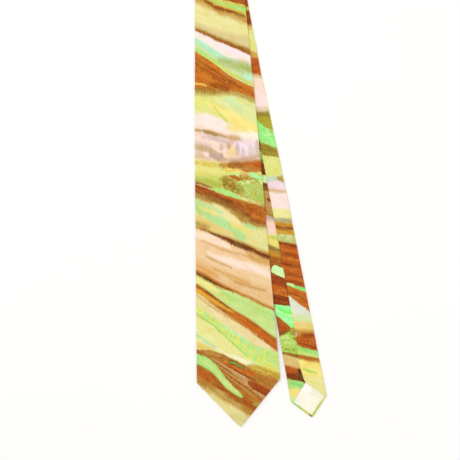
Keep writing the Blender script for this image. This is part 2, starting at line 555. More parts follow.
def blade_moss(paint):
    """The mossy patch and the rust-coloured band under it."""
    paint.edge([(0, 346), (0.25, 343), (0.45, 340), (1, 334)], (230, 220, 128), 3)
    paint.stroke([(0, 341, 2), (0.2, 339, 2.6), (0.42, 334, 2)], (216, 178, 100), 2.4, 0.8, 0.6)
    paint.stroke([(0, 334, 3), (0.2, 331, 4), (0.45, 328, 3)], (236, 230, 148), 3.4)
    paint.edge([(0, 326), (0.3, 323), (0.5, 322), (1, 322)], (206, 216, 128), 5)
    paint.stroke([(0, 320, 2), (0.2, 316, 3), (0.38, 311, 3)], (186, 190, 96), 4)
    paint.stroke([(0.36, 337, 1), (0.5, 335, 4), (0.8, 335, 6), (1, 333, 7)], (190, 134, 70), 4.6)
    paint.stroke([(0.5, 337, 1), (0.62, 336, 4), (0.74, 335, 1)], (172, 112, 56), 3)
    paint.stroke([(0.74, 337, 1), (0.88, 335, 4), (1, 334, 6)], (198, 108, 44), 3.6)
    paint.stroke([(0.62, 330, 1), (0.85, 328, 2), (1, 327, 2)], (194, 124, 76), 2)
    moss = [(0.42, 314, 7), (0.5, 313, 10), (0.7, 308, 15), (0.9, 303, 19), (1, 300, 20)]
    for rgb, soft, cover, broken in (
        ((196, 196, 100), 2.4, 1, 0),
        ((156, 116, 46), 2, 0.9, 0.4),
        ((218, 164, 88), 2, 0.9, 0.8),
    ):
        paint.stroke(moss, rgb, soft, cover, broken)
    paint.stroke([(0.6, 309, 4), (0.8, 304, 12), (1, 300, 16)], (224, 244, 170), 1.6, 0.95, 0.5)
    paint.stroke([(0.62, 306, 4), (0.8, 301, 10), (1, 296, 14)], (170, 200, 96), 1.6, 0.9, 0.7)
    shadow = [(0.36, 318, 1), (0.46, 314, 6), (0.6, 307, 6), (0.72, 302, 2)]
    paint.stroke(shadow, (158, 124, 52), 4, 0.7, 0.1)
    paint.stroke([(0.42, 330, 1.5), (0.55, 329, 3), (0.72, 327, 1.5)], (250, 222, 132), 2.2, 0.95, 0.3)
    paint.stroke([(0.46, 326, 1.5), (0.56, 325, 2.6), (0.66, 323, 1.5)], (212, 240, 164), 1.6, 0.95, 0.2)
    paint.stroke([(0.52, 322, 1), (0.6, 320, 2.8), (0.67, 317, 1)], (192, 106, 48), 1.2)
    paint.stroke([(0.68, 325, 0.8), (0.76, 323, 1.4), (0.82, 322, 0.6)], (226, 180, 140), 1.2)
    paint.stroke([(0.8, 324, 1), (0.88, 321, 2.8), (1, 317, 2)], (182, 242, 166), 1.2)
    bright = [(0.5, 299, 0.8), (0.7, 293, 2), (0.85, 287, 2.2), (1, 281, 1.8)]
    paint.stroke(bright, (238, 222, 164), 1.2, 1, 0.3)
    rust = [(0, 318), (0.25, 309), (0.45, 297), (0.6, 291), (0.8, 285), (1, 279)]
    paint.edge(rust, (160, 90, 36), 2.8)
    leaf = [(0.2, 308, 0.5), (0.34, 304, 2.4), (0.48, 300, 4), (0.58, 295, 4), (0.68, 289, 1.4)]
    paint.stroke(leaf, (182, 232, 136), 1.2, 1, 0.16)
    paint.stroke([(0, 314, 0.5), (0.25, 306, 0.7), (0.4, 300, 0.3)], (236, 194, 150), 0.8)
    paint.stroke([(0, 309, 0.8), (0.3, 300, 1.4), (0.6, 291, 1.4), (1, 276, 1.2)], (196, 100, 38), 1.4)
    paint.stroke([(0.1, 308, 0.6), (0.5, 290, 0.8), (0.75, 283, 0.6)], (112, 54, 24), 1.6, 0.7)
    paint.stroke([(0.55, 289, 1), (0.8, 279, 7), (1, 271, 11)], (200, 114, 44), 4)
    paint.stroke([(0.8, 270, 1), (0.92, 268, 3), (1, 267, 4)], (220, 132, 52), 3.4, 0.8)
    paint.stroke([(0.45, 292, 1), (0.7, 282, 5), (1, 273, 9)], (146, 84, 34), 2.6, 0.6, 0.5)
    low = [(0, 303), (0.2, 297), (0.4, 289), (0.6, 278), (0.8, 264), (1, 257)]
    paint.edge(low, (186, 146, 84), 4)
    paint.stroke([(0.15, 298, 1), (0.5, 282, 3), (0.7, 271, 2)], (146, 96, 46), 4, 0.8)
    paint.edge([(0, 294), (0.25, 288), (0.5, 275), (0.7, 261), (1, 252)], (232, 224, 158), 3.6)


def blade_wood(paint):
    """Green blotches over the long peach-coloured plank."""
    paint.stroke([(0.46, 279, 1), (0.62, 270, 5), (0.78, 263, 1)], (190, 152, 90), 4.4, 0.9)
    paint.stroke([(0.2, 285, 1), (0.4, 275, 7), (0.62, 261, 4)], (243, 228, 170), 4)
    paint.stroke([(0, 293, 2), (0.1, 287, 3), (0.26, 283, 1)], (196, 226, 162), 3.6)
    paint.stroke([(0, 286, 6), (0.12, 279, 6), (0.26, 268, 3)], (188, 224, 152), 4.4)
    paint.stroke([(0.2, 269, 2), (0.36, 263, 8), (0.5, 257, 4)], (190, 226, 158), 4.4)
    paint.stroke([(0.46, 255, 2), (0.58, 248, 6), (0.7, 242, 3)], (188, 226, 152), 4.2)
    paint.stroke([(0.26, 282, 0.6), (0.33, 278, 2), (0.4, 275, 0.6)], (190, 226, 160), 3)
    paint.stroke([(0.7, 259, 0.6), (0.8, 256, 2.4), (0.88, 253, 0.6)], (190, 226, 154), 3)
    paint.stroke([(0.04, 286, 0.6), (0.14, 281, 1.8), (0.3, 274, 0.6)], (246, 224, 144), 2.8)
    paint.stroke([(0.5, 262, 0.6), (0.66, 254, 2.4), (0.8, 247, 0.6)], (238, 224, 134), 3.4)
    paint.stroke([(0, 292, 1), (0.04, 280, 3), (0.1, 268, 1)], (196, 204, 128), 3, 0.8)
    paint.stroke([(0, 270, 5), (0.2, 262, 4), (0.4, 252, 3), (0.55, 246, 1)], (234, 206, 134), 2.8)
    paint.stroke([(0, 265, 2), (0.08, 262, 3), (0.2, 258, 1)], (196, 168, 104), 3)
    line = [(0, 259), (0.15, 254), (0.3, 247), (0.5, 240), (0.7, 232), (0.85, 225), (1, 219)]
    paint.edge([(q, up + 3) for q, up in line], (196, 142, 76), 4)
    paint.edge(line, (150, 86, 38), 2.6)
    paint.edge([(0, 259), (0.2, 250), (0.5, 236), (0.7, 225), (1, 210)], (242, 208, 166), 2.4)
    dark = [(0.2, 251, 0.6), (0.4, 242, 2.4), (0.62, 234, 3), (0.8, 225, 2), (1, 215, 1.6)]
    paint.stroke(dark, (122, 62, 32), 2.2)
    paint.stroke([(0, 250, 4), (0.2, 243, 5), (0.5, 229, 2)], (253, 226, 204), 3)
    paint.stroke([(0.08, 242, 1), (0.3, 232, 2), (0.6, 222, 2), (1, 210, 3)], (226, 186, 132), 2.4)
    paint.stroke([(0.7, 222, 2), (0.85, 214, 5), (1, 208, 4)], (222, 176, 118), 3)
    pale = [(0.16, 226, 1), (0.3, 219, 3), (0.55, 210, 5), (0.8, 202, 5), (1, 193, 5)]
    paint.stroke(pale, (253, 228, 210), 4)
    paint.stroke([(0.14, 222, 0.4), (0.3, 213, 1.2), (0.48, 205, 0.6)], (200, 160, 110), 3)
    paint.edge([(0, 222), (0.3, 204), (0.6, 192), (1, 176)], (236, 198, 150), 5)
    paint.stroke([(0.2, 207, 1), (0.4, 197, 3), (0.7, 184, 3)], (226, 182, 124), 2.8)
    paint.stroke([(0.5, 188, 0.4), (0.7, 180, 1.6), (0.92, 173, 0.6)], (208, 158, 100), 3)
    paint.stroke([(0, 210, 3), (0.15, 203, 3), (0.3, 195, 1)], (230, 176, 114), 3)
    line = [(0, 205), (0.15, 198), (0.3, 188), (0.45, 180), (0.7, 167), (1, 151)]
    paint.edge(line, (192, 124, 54), 2.6)
    paint.stroke([(0, 200, 1.6), (0.15, 192, 1.6), (0.3, 184, 1), (0.45, 177, 0.3)], (118, 64, 26), 1.2)
    line = [(0, 197), (0.15, 190), (0.3, 180), (0.45, 175), (0.7, 163), (1, 147)]
    paint.edge(line, (208, 228, 150), 2)
    paint.stroke([(0, 192, 4), (0.15, 184, 3.4), (0.28, 176, 2), (0.4, 168, 0.6)], (246, 230, 150), 3)
    paint.stroke([(0.3, 175, 1), (0.6, 160, 3), (1, 138, 4)], (192, 224, 138), 5)
    line = [(0, 187), (0.15, 177), (0.3, 165), (0.5, 150), (0.7, 137), (0.85, 124), (1, 112)]
    paint.edge(line, (182, 104, 40), 2.2)
    paint.edge([(0, 177), (0.15, 165), (0.3, 152), (0.5, 138), (0.7, 121), (1, 95)], (238, 222, 168), 3)
    paint.stroke([(0.12, 178, 1), (0.3, 162, 1.6), (0.45, 152, 0.8)], (146, 78, 30), 1.2)
    paint.stroke([(0, 178, 3), (0.15, 169, 3), (0.35, 155, 2), (0.5, 147, 0.6)], (230, 172, 72), 2)
    paint.stroke([(0, 172, 0.6), (0.3, 149, 1.2), (0.5, 137, 0.6)], (204, 140, 64), 2.4, 0.8)
    paint.stroke([(0.45, 147, 2), (0.7, 128, 5), (0.85, 115, 4), (1, 101, 3)], (204, 114, 38), 2.8)


def blade_point(paint):
    """The feathery green stroke, the streaked wood and the leaf at the blade's point."""
    paint.stroke([(0.3, 146, 2), (0.6, 121, 4), (0.9, 96, 4)], (240, 218, 168), 4)
    paint.edge([(0, 148), (0.25, 128), (0.45, 108), (0.6, 92), (0.75, 80), (1, 66)], (236, 230, 160), 2)
    line = [(0, 155, 5), (0.2, 138, 6), (0.4, 120, 8), (0.6, 102, 11), (0.75, 91, 13), (1, 76, 17)]
    paint.feathers(line, (230, 228, 124), (184, 232, 150))
    mint = [(0.3, 134, 1), (0.5, 120, 2.4), (0.7, 104, 3), (0.8, 98, 1)]
    paint.stroke(mint, (184, 234, 176), 2.6, 0.7, 0.3)
    paint.stroke([(0.85, 92, 2), (0.92, 88, 8), (1, 84, 8)], (204, 226, 142), 4, 0.8)
    paint.stroke([(0.76, 76, 2), (0.88, 72, 5), (1, 68, 5)], (230, 218, 120), 4, 0.9)
    rim = [(0, 149, 0.6), (0.25, 129, 1), (0.45, 109, 0.8), (0.62, 90, 0.4)]
    paint.stroke(rim, (172, 208, 106), 1.8)
    paint.stroke([(0, 121, 1.6), (0.1, 113, 1.4), (0.24, 104, 0.6)], (168, 222, 134), 1.2)
    paint.stroke([(0.06, 116, 0.6), (0.16, 109, 1.6), (0.26, 103, 1)], (196, 228, 190), 2.2)
    paint.stroke([(0, 109, 4), (0.1, 105, 3), (0.2, 102, 1)], (232, 208, 130), 1.8)
    pale = [(0.24, 104, 0.4), (0.42, 93, 1.6), (0.56, 86, 2.6), (0.66, 81, 1.6)]
    paint.stroke(pale, (244, 244, 214), 2)
    wood = [(0, 103), (0.2, 100), (0.4, 90), (0.55, 82), (0.7, 74), (0.85, 67), (1, 58)]
    paint.edge(wood, (186, 124, 66), 1.2)
    paint.stroke([(0.62, 79, 1), (0.76, 74, 4), (0.9, 66, 5), (1, 62, 5)], (196, 154, 62), 3, 0.9, 0.16)
    paint.stroke([(0.66, 75, 1), (0.76, 71, 3), (0.86, 66, 1)], (212, 190, 84), 2.4, 0.9, 0.4)
    paint.stroke([(0, 99, 1), (0.15, 97, 2), (0.35, 91, 3), (0.5, 84, 1)], (160, 98, 48), 2.6, 0.8, 0.5)
    paint.stroke([(0.1, 99, 1), (0.2, 96, 2), (0.3, 93, 1)], (206, 164, 98), 2, 0.8)
    paint.edge([(0, 84), (0.2, 72), (0.4, 60), (0.6, 44), (1, 24)], (190, 128, 62), 4)
    paint.stroke([(0.33, 85, 1), (0.45, 80, 5), (0.58, 73, 4.6), (0.7, 67, 1.4)], (206, 118, 42), 1.2)
    paint.stroke([(0.36, 82, 0.4), (0.5, 72, 0.8), (0.7, 60, 0.6)], (142, 68, 26), 1)
    worm = [(0.39, 84, 1.6), (0.46, 83, 2.6), (0.52, 79, 2), (0.58, 76, 1.4)]
    paint.stroke(worm, (96, 62, 28), 0.9)
    paint.stroke([(q, up, half - 1.3) for q, up, half in worm], (150, 190, 96), 0.8)
    for q0, up0, q1, up1, half, rgb in (
        (0.18, 91, 0.97, 36, 1.0, (218, 178, 136)),
        (0.2, 87, 0.9, 34, 0.5, (160, 96, 48)),
        (0.22, 84, 0.86, 33, 1.0, (212, 166, 116)),
        (0.24, 80, 0.8, 33, 0.6, (156, 92, 44)),
        (0.26, 76, 0.7, 38, 0.9, (204, 152, 92)),
        (0.3, 70, 0.62, 40, 0.6, (164, 98, 46)),
    ):
        middle = ((q0 + q1) / 2, (up0 + up1) / 2, half)
        paint.stroke([(q0, up0, half / 2), middle, (q1, up1, half)], rgb, 0.8)
    paint.stroke([(0.42, 72, 0.6), (0.55, 62, 2.4), (0.7, 47, 4), (0.85, 33, 3)], (202, 164, 118), 1.8)
    paint.stroke([(0.68, 64, 1), (0.8, 58, 2.4), (0.97, 50, 3)], (180, 128, 60), 2)
    paint.stroke([(0.62, 57, 3), (0.66, 54, 5), (0.78, 46, 5.4), (0.95, 36, 5)], (164, 76, 26), 1)
    paint.stroke([(0.66, 60, 0.8), (0.8, 52, 0.8), (0.95, 43, 0.6)], (196, 106, 50), 0.9)
    low = [(0, 80, 1), (0.1, 71, 5), (0.25, 58, 6), (0.4, 43, 5), (0.55, 34, 6), (0.7, 24, 6)]
    paint.stroke(low, (176, 98, 38), 3.2)
    paint.stroke([(0, 74, 4), (0.1, 68, 4), (0.22, 61, 2)], (192, 108, 38), 2.8)
    paint.edge([(0, 62), (0.2, 53), (0.35, 42), (0.5, 31), (0.62, 20), (0.72, 12)], (190, 148, 80), 4.4)
    paint.edge([(0, 57), (0.2, 45), (0.35, 33), (0.5, 23), (0.62, 11)], (232, 218, 154), 4.4)
    paint.stroke([(0.22, 50, 0.6), (0.36, 38, 2), (0.5, 28, 0.6)], (206, 178, 116), 3.4, 0.8)
    paint.stroke([(0.66, 30, 1), (0.7, 29, 2.2), (0.74, 28, 1)], (178, 164, 84), 1.6)
    leaf = [(0, 91, 6.5), (0.13, 84, 7), (0.24, 74, 7.5), (0.33, 60, 7), (0.43, 49, 4.6)]
    paint.stroke([*leaf, (0.54, 40, 1.2)], (176, 228, 134), 0.9)
    vein = [(0.04, 90, 1), (0.2, 78, 3), (0.33, 60, 3.6), (0.45, 48, 2.4), (0.53, 41, 0.5)]
    paint.stroke(vein, (214, 226, 148), 2)
    paint.stroke([(0.34, 16, 2), (0.5, 10, 8), (0.66, 8, 2)], (222, 208, 150), 4, 0.7)


def blade_print():
    """The blade's print, front and back."""
    paint = Print("print_blade", (176, 105, 45), 33)
    for part in (blade_top, blade_pink, blade_moss, blade_wood, blade_point):
        part(paint)
    return paint.done()


def left_print():
    """The tail's left back flap, which shows for q from 0 to a half."""
    paint = Print("print_tail_left", (200, 190, 120), 24, 1.6)
    for left, right, rgb, soft in (
        (560, 550, (236, 222, 150), 4),
        (520, 510, (190, 215, 130), 4),
        (470, 458, (176, 104, 50), 3),
        (440, 430, (190, 220, 130), 3),
        (408, 398, (120, 84, 40), 3),
        (394, 386, (112, 196, 104), 2.4),
        (364, 358, (104, 98, 40), 2.4),
        (353, 348, (140, 204, 98), 2),
        (342, 336, (122, 144, 62), 1.8),
        (334, 331, (134, 70, 30), 1.4),
        (320, 316, (222, 240, 180), 1.6),
        (310, 306, (150, 92, 42), 1.6),
        (300, 295, (198, 158, 106), 2),
        (282, 264, (186, 142, 82), 2),
        (272, 258, (214, 190, 178), 2.4),
        (266, 253, (251, 218, 202), 2.6),
        (243, 238, (238, 224, 134), 2.4),
        (233, 219, (160, 136, 88), 2.6),
        (227, 213, (206, 150, 60), 2.2),
        (216, 208, (176, 104, 44), 2.4),
        (192, 181, (162, 74, 32), 0.9),
        (179, 167, (206, 116, 42), 1.2),
        (165, 154, (150, 68, 26), 1),
        (152, 145, (168, 248, 160), 0.9),
        (122, 117, (184, 214, 110), 1.4),
        (90, 82, (156, 98, 40), 1.6),
        (87, 77, (224, 196, 134), 1.8),
        (73, 62, (190, 98, 42), 2.6),
        (62, 58, (134, 68, 30), 2.6),
        (55, 46, (184, 222, 130), 1.6),
        (42, 38, (242, 226, 140), 2.6),
        (30, 27, (196, 232, 156), 2.4),
        (21, 16, (170, 214, 116), 2),
        (14, 12, (222, 214, 78), 2),
        (6, 5, (176, 208, 100), 1.6),
        (4.6, 4.6, (176, 96, 40), 1.4),
    ):
        paint.edge([(0, left), (0.5, right)], rgb, soft)
    paint.stroke([(0, 348, 4), (0.3, 345, 6), (0.5, 342, 6)], (172, 232, 120), 1.4, 0.9, 0.6)
    paint.stroke([(0.36, 286, 1), (0.44, 284, 2.4), (0.5, 282, 2)], (160, 92, 54), 1.2)
    paint.stroke([(0.26, 238, 1), (0.36, 236, 2.4), (0.5, 233, 1.4)], (202, 216, 116), 1.8)
    blob = [(0.1, 194, 1.5), (0.16, 195, 4.6), (0.25, 194, 7), (0.36, 191, 6.6), (0.5, 187, 5.6)]
    paint.stroke(blob, (216, 246, 184), 0.9)
    paint.stroke([(0, 172, 0.5), (0.5, 161, 0.5)], (150, 72, 28), 0.8, 0.7)
    paint.stroke([(0, 165, 0.7), (0.25, 160, 0.8), (0.5, 154, 0.6)], (104, 46, 20), 0.7)
    paint.stroke([(0, 158, 0.5), (0.5, 149, 0.5)], (184, 96, 40), 0.8, 0.8)
    paint.stroke([(0, 144, 1.2), (0.25, 139, 1.6), (0.5, 132, 1.4)], (206, 252, 194), 1)
    paint.stroke([(0.1, 145, 1), (0.3, 140, 2.2), (0.5, 137, 2)], (134, 248, 124), 1.4)
    paint.stroke([(0.2, 130, 0.6), (0.5, 123, 1)], (206, 252, 190), 1)
    wedge = [(0, 124, 14), (0.1, 122, 11), (0.2, 121, 7), (0.3, 119, 4), (0.35, 118, 1)]
    paint.stroke(wedge, (182, 88, 32), 1)
    paint.stroke([(0, 113, 1.4), (0.15, 113, 1.4), (0.32, 115, 1)], (124, 96, 40), 1.2, 0.8)
    disc = [(0, 100, 8), (0.2, 101, 11), (0.42, 98, 11), (0.5, 100, 10)]
    paint.stroke(disc, (136, 112, 48), 1.2, 0.8, 0.62)
    paint.stroke([(0, 102, 6), (0.2, 103, 9), (0.38, 99, 7)], (214, 240, 150), 1.2, 0.9, 0.7)
    paint.stroke([(0.32, 112, 4), (0.42, 110, 8), (0.5, 108, 8)], (170, 140, 64), 1.4, 0.85, 0.3)
    paint.stroke([(0.06, 49, 1), (0.2, 47, 2.6), (0.36, 42, 2.6), (0.46, 39, 1)], (150, 218, 138), 2)
    paint.stroke([(0.34, 60, 4), (0.44, 55, 9), (0.5, 53, 9)], (98, 50, 22), 2.2, 0.9)
    return paint.done()


def right_print():
    """The tail's right back flap, which shows for q from a half to 1."""
    paint = Print("print_tail_right", (205, 215, 130), 24, 1.8)
    for left, right, rgb, soft in (
        (600, 590, (190, 130, 70), 4),
        (580, 570, (236, 222, 170), 4),
        (556, 550, (160, 84, 44), 3),
        (534, 531, (206, 198, 102), 1.8),
        (531, 527, (162, 78, 28), 1.6),
        (513, 508, (220, 188, 116), 2.4),
        (507, 502, (232, 228, 145), 2.6),
        (480, 473, (216, 178, 108), 2.6),
        (472, 465, (194, 100, 40), 2.4),
        (450, 442, (226, 196, 156), 2),
        (446, 437, (252, 222, 204), 2.2),
        (428, 422, (253, 227, 223), 3),
        (405, 401, (226, 208, 172), 2),
        (399, 395, (166, 148, 80), 2),
        (393, 388, (184, 172, 62), 2),
        (388, 366, (160, 236, 142), 2.4),
        (360, 347, (164, 142, 62), 1.8),
        (342, 335, (228, 226, 140), 1.8),
        (313, 311, (200, 214, 194), 2),
        (307, 305, (244, 220, 226), 2),
        (299, 292, (226, 192, 156), 2),
        (294, 288, (252, 228, 222), 2),
        (273, 267, (241, 232, 162), 2.2),
        (260, 256, (186, 178, 136), 2.2),
        (255, 249, (208, 150, 60), 2),
        (250, 244, (160, 92, 36), 1.6),
        (246, 240, (214, 164, 74), 2),
        (239, 233, (194, 198, 128), 1.4),
        (230, 222, (184, 96, 38), 1.1),
        (174, 165, (140, 236, 134), 1.2),
        (172, 160, (200, 114, 44), 0.9),
        (158, 134, (226, 230, 212), 1.4),
        (134, 128, (214, 230, 168), 2.4),
        (126, 120, (238, 212, 140), 1.8),
        (115, 110, (206, 154, 78), 3.2),
        (107, 102, (194, 104, 40), 2.6),
        (94, 82, (168, 226, 134), 0.9),
        (88, 77, (208, 226, 138), 2),
        (82, 73, (188, 118, 54), 1.1),
        (76, 67, (246, 228, 142), 2.4),
        (54, 48, (236, 228, 158), 2.6),
        (20, 18, (200, 214, 100), 2),
    ):
        paint.edge([(0.5, left), (1, right)], rgb, soft)
    paint.stroke([(0.56, 390, 2), (0.8, 381, 6), (1, 372, 8)], (176, 176, 70), 2.4, 0.9, 0.36)
    paint.stroke([(0.5, 378, 3), (0.7, 371, 8), (1, 362, 8)], (196, 242, 160), 2, 0.8, 0.6)
    paint.stroke([(0.6, 352, 1), (0.7, 353, 2.6), (0.8, 353, 1)], (156, 144, 52), 1.2)
    paint.stroke([(0.5, 361, 2), (0.75, 358, 5), (1, 355, 5)], (190, 240, 150), 1.6, 0.8, 0.5)
    paint.stroke([(0.8, 310, 1), (0.9, 308, 3), (1, 307, 4)], (192, 162, 92), 2)
    paint.stroke([(0.5, 235, 3), (0.75, 232, 4), (1, 229, 4)], (222, 220, 160), 1.2, 0.9, 0.6)
    for left, half, rgb in (
        (227, 1.4, (152, 72, 30)),
        (220, 2.4, (204, 116, 50)),
        (214, 0.8, (146, 68, 28)),
        (208, 2.4, (206, 118, 50)),
        (201, 1.2, (156, 74, 30)),
        (194, 2.4, (202, 112, 46)),
        (188, 0.8, (148, 70, 30)),
        (183, 2.0, (204, 116, 48)),
        (178, 0.8, (156, 76, 30)),
    ):
        paint.stroke([(0.5, left, half), (0.75, left - 4, half), (1, left - 9, half)], rgb, 1.1)
    paint.stroke([(0.5, 174, 1.4), (0.6, 172, 1.6), (0.7, 170, 0.8)], (206, 242, 170), 1)
    paint.stroke([(0.5, 163, 1), (0.75, 156, 1.2), (1, 146, 1)], (164, 80, 32), 1.2)
    paint.stroke([(0.5, 137, 7), (0.54, 135, 5), (0.6, 132, 0.4)], (236, 230, 180), 3)
    paint.stroke([(0.62, 107, 1), (0.85, 104, 2.6), (1, 102, 3)], (160, 80, 32), 3)
    paint.stroke([(0.5, 98, 1), (0.75, 92, 1.2), (1, 86, 1.4)], (156, 76, 30), 1.2)
    paint.stroke([(0.5, 64, 1.4), (0.65, 59, 2), (0.78, 56, 1.8), (0.88, 54, 0.8)], (190, 216, 106), 1.6)
    return paint.done()


def neck_print():
    """The neck piece. Its heights are distances from the blade's bias seam, so they grow towards
    the tail, and the last colour is painted first."""
    paint = Print("print_neck", (206, 160, 90), -36)
    for middle, rgb in (
        (180, (222, 226, 160)),
        (160, (160, 86, 36)),
        (152, (240, 224, 140)),
        (136, (200, 118, 44)),
        (118, (190, 220, 150)),
        (104, (214, 188, 130)),
        (92, (250, 230, 214)),
        (70, (165, 82, 30)),
        (56, (196, 222, 130)),
        (44, (236, 226, 170)),
        (26, (184, 105, 40)),
        (12, (225, 214, 140)),
    ):
        paint.edge([(0, max(1, middle - 15)), (0.5, middle), (1, middle + 15)], rgb, 2.2)
    paint.stroke([(0, 42, 1), (0.5, 58, 1.2), (1, 73, 1)], (146, 72, 28), 1.2)
    paint.stroke([(0, 60, 1), (0.5, 76, 1.4), (1, 91, 1)], (232, 182, 100), 1.4)
    paint.stroke([(0, 104, 1), (0.5, 119, 1.2), (1, 134, 1)], (150, 206, 110), 1.4)
    return paint.done()


WAVE = 0.314  # scale at which a wave texture makes one band in each unit


def woven(name, rgb, pitch, depth, uneven=0.9):
    """A plain woven cloth: crossing yarns of one colour. Its darkest parts keep the share uneven."""
    paint = Paint(name)
    place = paint.add("ShaderNodeTexCoord", {}, 3)
    yarns = []
    for direction in "XY":
        inputs = {
            "Vector": paint.turned(place, 0, 1, 1),
            "Scale": WAVE / pitch,
            "Distortion": 0.4,
            "Detail": 1.0,
        }
        kind = {"wave_type": "BANDS", "bands_direction": direction}
        yarns.append(paint.add("ShaderNodeTexWave", inputs, **kind))
    weave = paint.calc("ADD", *yarns)
    cloud = paint.noise(paint.turned(place, 20, 14, 9), 3.0)
    pale = colour(rgb)
    dark = colour([c * uneven for c in rgb])
    paint.base(paint.mix(paint.step(cloud, 0.3, 0.7), dark, pale))
    paint.roughness(paint.calc("MULTIPLY_ADD", cloud, 0.2, 0.55))
    paint.bump(weave, depth, 0.6)
    return paint.material


def thread_material(name, rgb):
    """Sewing thread: a fine twist along it and a slight gloss."""
    paint = Paint(name, Sheen_Weight=0.1, Specular_IOR_Level=0.4)
    place = paint.add("ShaderNodeTexCoord", {}, 3)
    inputs = {"Vector": paint.turned(place, 30, 1, 1), "Scale": 0.8, "Distortion": 1.5}
    twist = paint.add("ShaderNodeTexWave", inputs, wave_type="BANDS")
    paint.base(paint.mix(twist, colour([c * 0.86 for c in rgb]), colour(rgb)))
    paint.roughness(paint.calc("MULTIPLY_ADD", twist, 0.15, 0.5))
    paint.bump(twist, 0.05, 0.7)
    return paint.material


BLADE_PRINT = blade_print()
TAIL_LEFT = left_print()
TAIL_RIGHT = right_print()
NECK_PRINT = neck_print()
INTERLINING = woven("interlining_wool", (226, 214, 190), 0.9, 0.15)
TIPPING = woven("tipping_satin", (255, 248, 226), 0.35, 0.01, 0.96)
LABEL = woven("label_ribbon", (255, 250, 242), 0.4, 0.01, 0.98)
WHITE_THREAD = thread_material("thread_white", (250, 246, 238))
TAN_THREAD = thread_material("thread_tan", (214, 190, 140))


# ---------------------------------------------------------------- meshes


def object_from(name, points, faces, materials, regions=None, uvs=None):
    """A smooth mesh object. points are in millimetres, regions gives each face its material, and
    uvs maps a layer's name to a pair for each point."""
    mesh = bpy.data.meshes.new(name)
    mesh.from_pydata([tuple(p * MM) for p in points], [], faces)
    for material in materials:
        mesh.materials.append(material)
    if regions:
        mesh.polygons.foreach_set("material_index", regions)
    for layer_name, pairs in (uvs or {}).items():
        layer = mesh.uv_layers.new(name=layer_name)
        for loop in mesh.loops:
            layer.data[loop.index].uv = pairs[loop.vertex_index]
    mesh.shade_smooth()
    obj = bpy.data.objects.new(name, mesh)
    bpy.context.scene.collection.objects.link(obj)
    return obj


def grid_faces(rows, columns, flip=False):
    """Quads between the rows of a grid of points."""
    faces = []
    for r in range(rows - 1):
        for c in range(columns - 1):
            a = r * columns + c
            face = (a, a + 1, a + columns + 1, a + columns)
            faces.append(face[::-1] if flip else face)
    return faces


def grid_size(points, columns):
    """Widest row and longest column of a grid of points, in metres."""
    rows = [points[i : i + columns] for i in range(0, len(points), columns)]
    widths = [sum((b - a).length for a, b in zip(row, row[1:])) for row in rows]
    lines = zip(*rows)
    lengths = [sum((b - a).length for a, b in zip(line, line[1:])) for line in lines]
    return max(widths) * MM, max(lengths) * MM


def thicken(obj, thickness):
    """Gives a sheet its thickness, behind its faces, and makes that final."""
    solid = obj.modifiers.new("thickness", "SOLIDIFY")
    solid.thickness = thickness * MM
    solid.offset = -1.0
    depsgraph = bpy.context.evaluated_depsgraph_get()
    finished = bpy.data.meshes.new_from_object(obj.evaluated_get(depsgraph))
    obj.modifiers.clear()
    obj.data = finished
    obj.data.set_sharp_from_angle(angle=radians(62))


def cloth_piece(obj, points, columns, thickness):
    """Declares a grid of cloth as a sheet of the size it was cut to, and gives it thickness."""
    flat = grid_size(points, columns)
    bm = bmesh.new()
    bm.from_mesh(obj.data)
    bmesh.ops.remove_doubles(bm, verts=bm.verts, dist=0.02 * MM)
    bmesh.ops.dissolve_degenerate(bm, edges=bm.edges, dist=0.005 * MM)
    bm.to_mesh(obj.data)
    bm.free()
    thicken(obj, thickness)
    return obj


def moves(obj, body, slot, *replaced):
    """Makes a piece ride on a body, take a slot's finish and stand for CAD nodes."""
    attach(obj, body)
    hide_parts(*replaced)


# ---------------------------------------------------------------- outer cloth

FRONT_STEPS = 26
FLAP_STEPS = 16
ROLL_STEPS = 6
FRONT, LEFT_FLAP, RIGHT_FLAP = 0, 1, 2


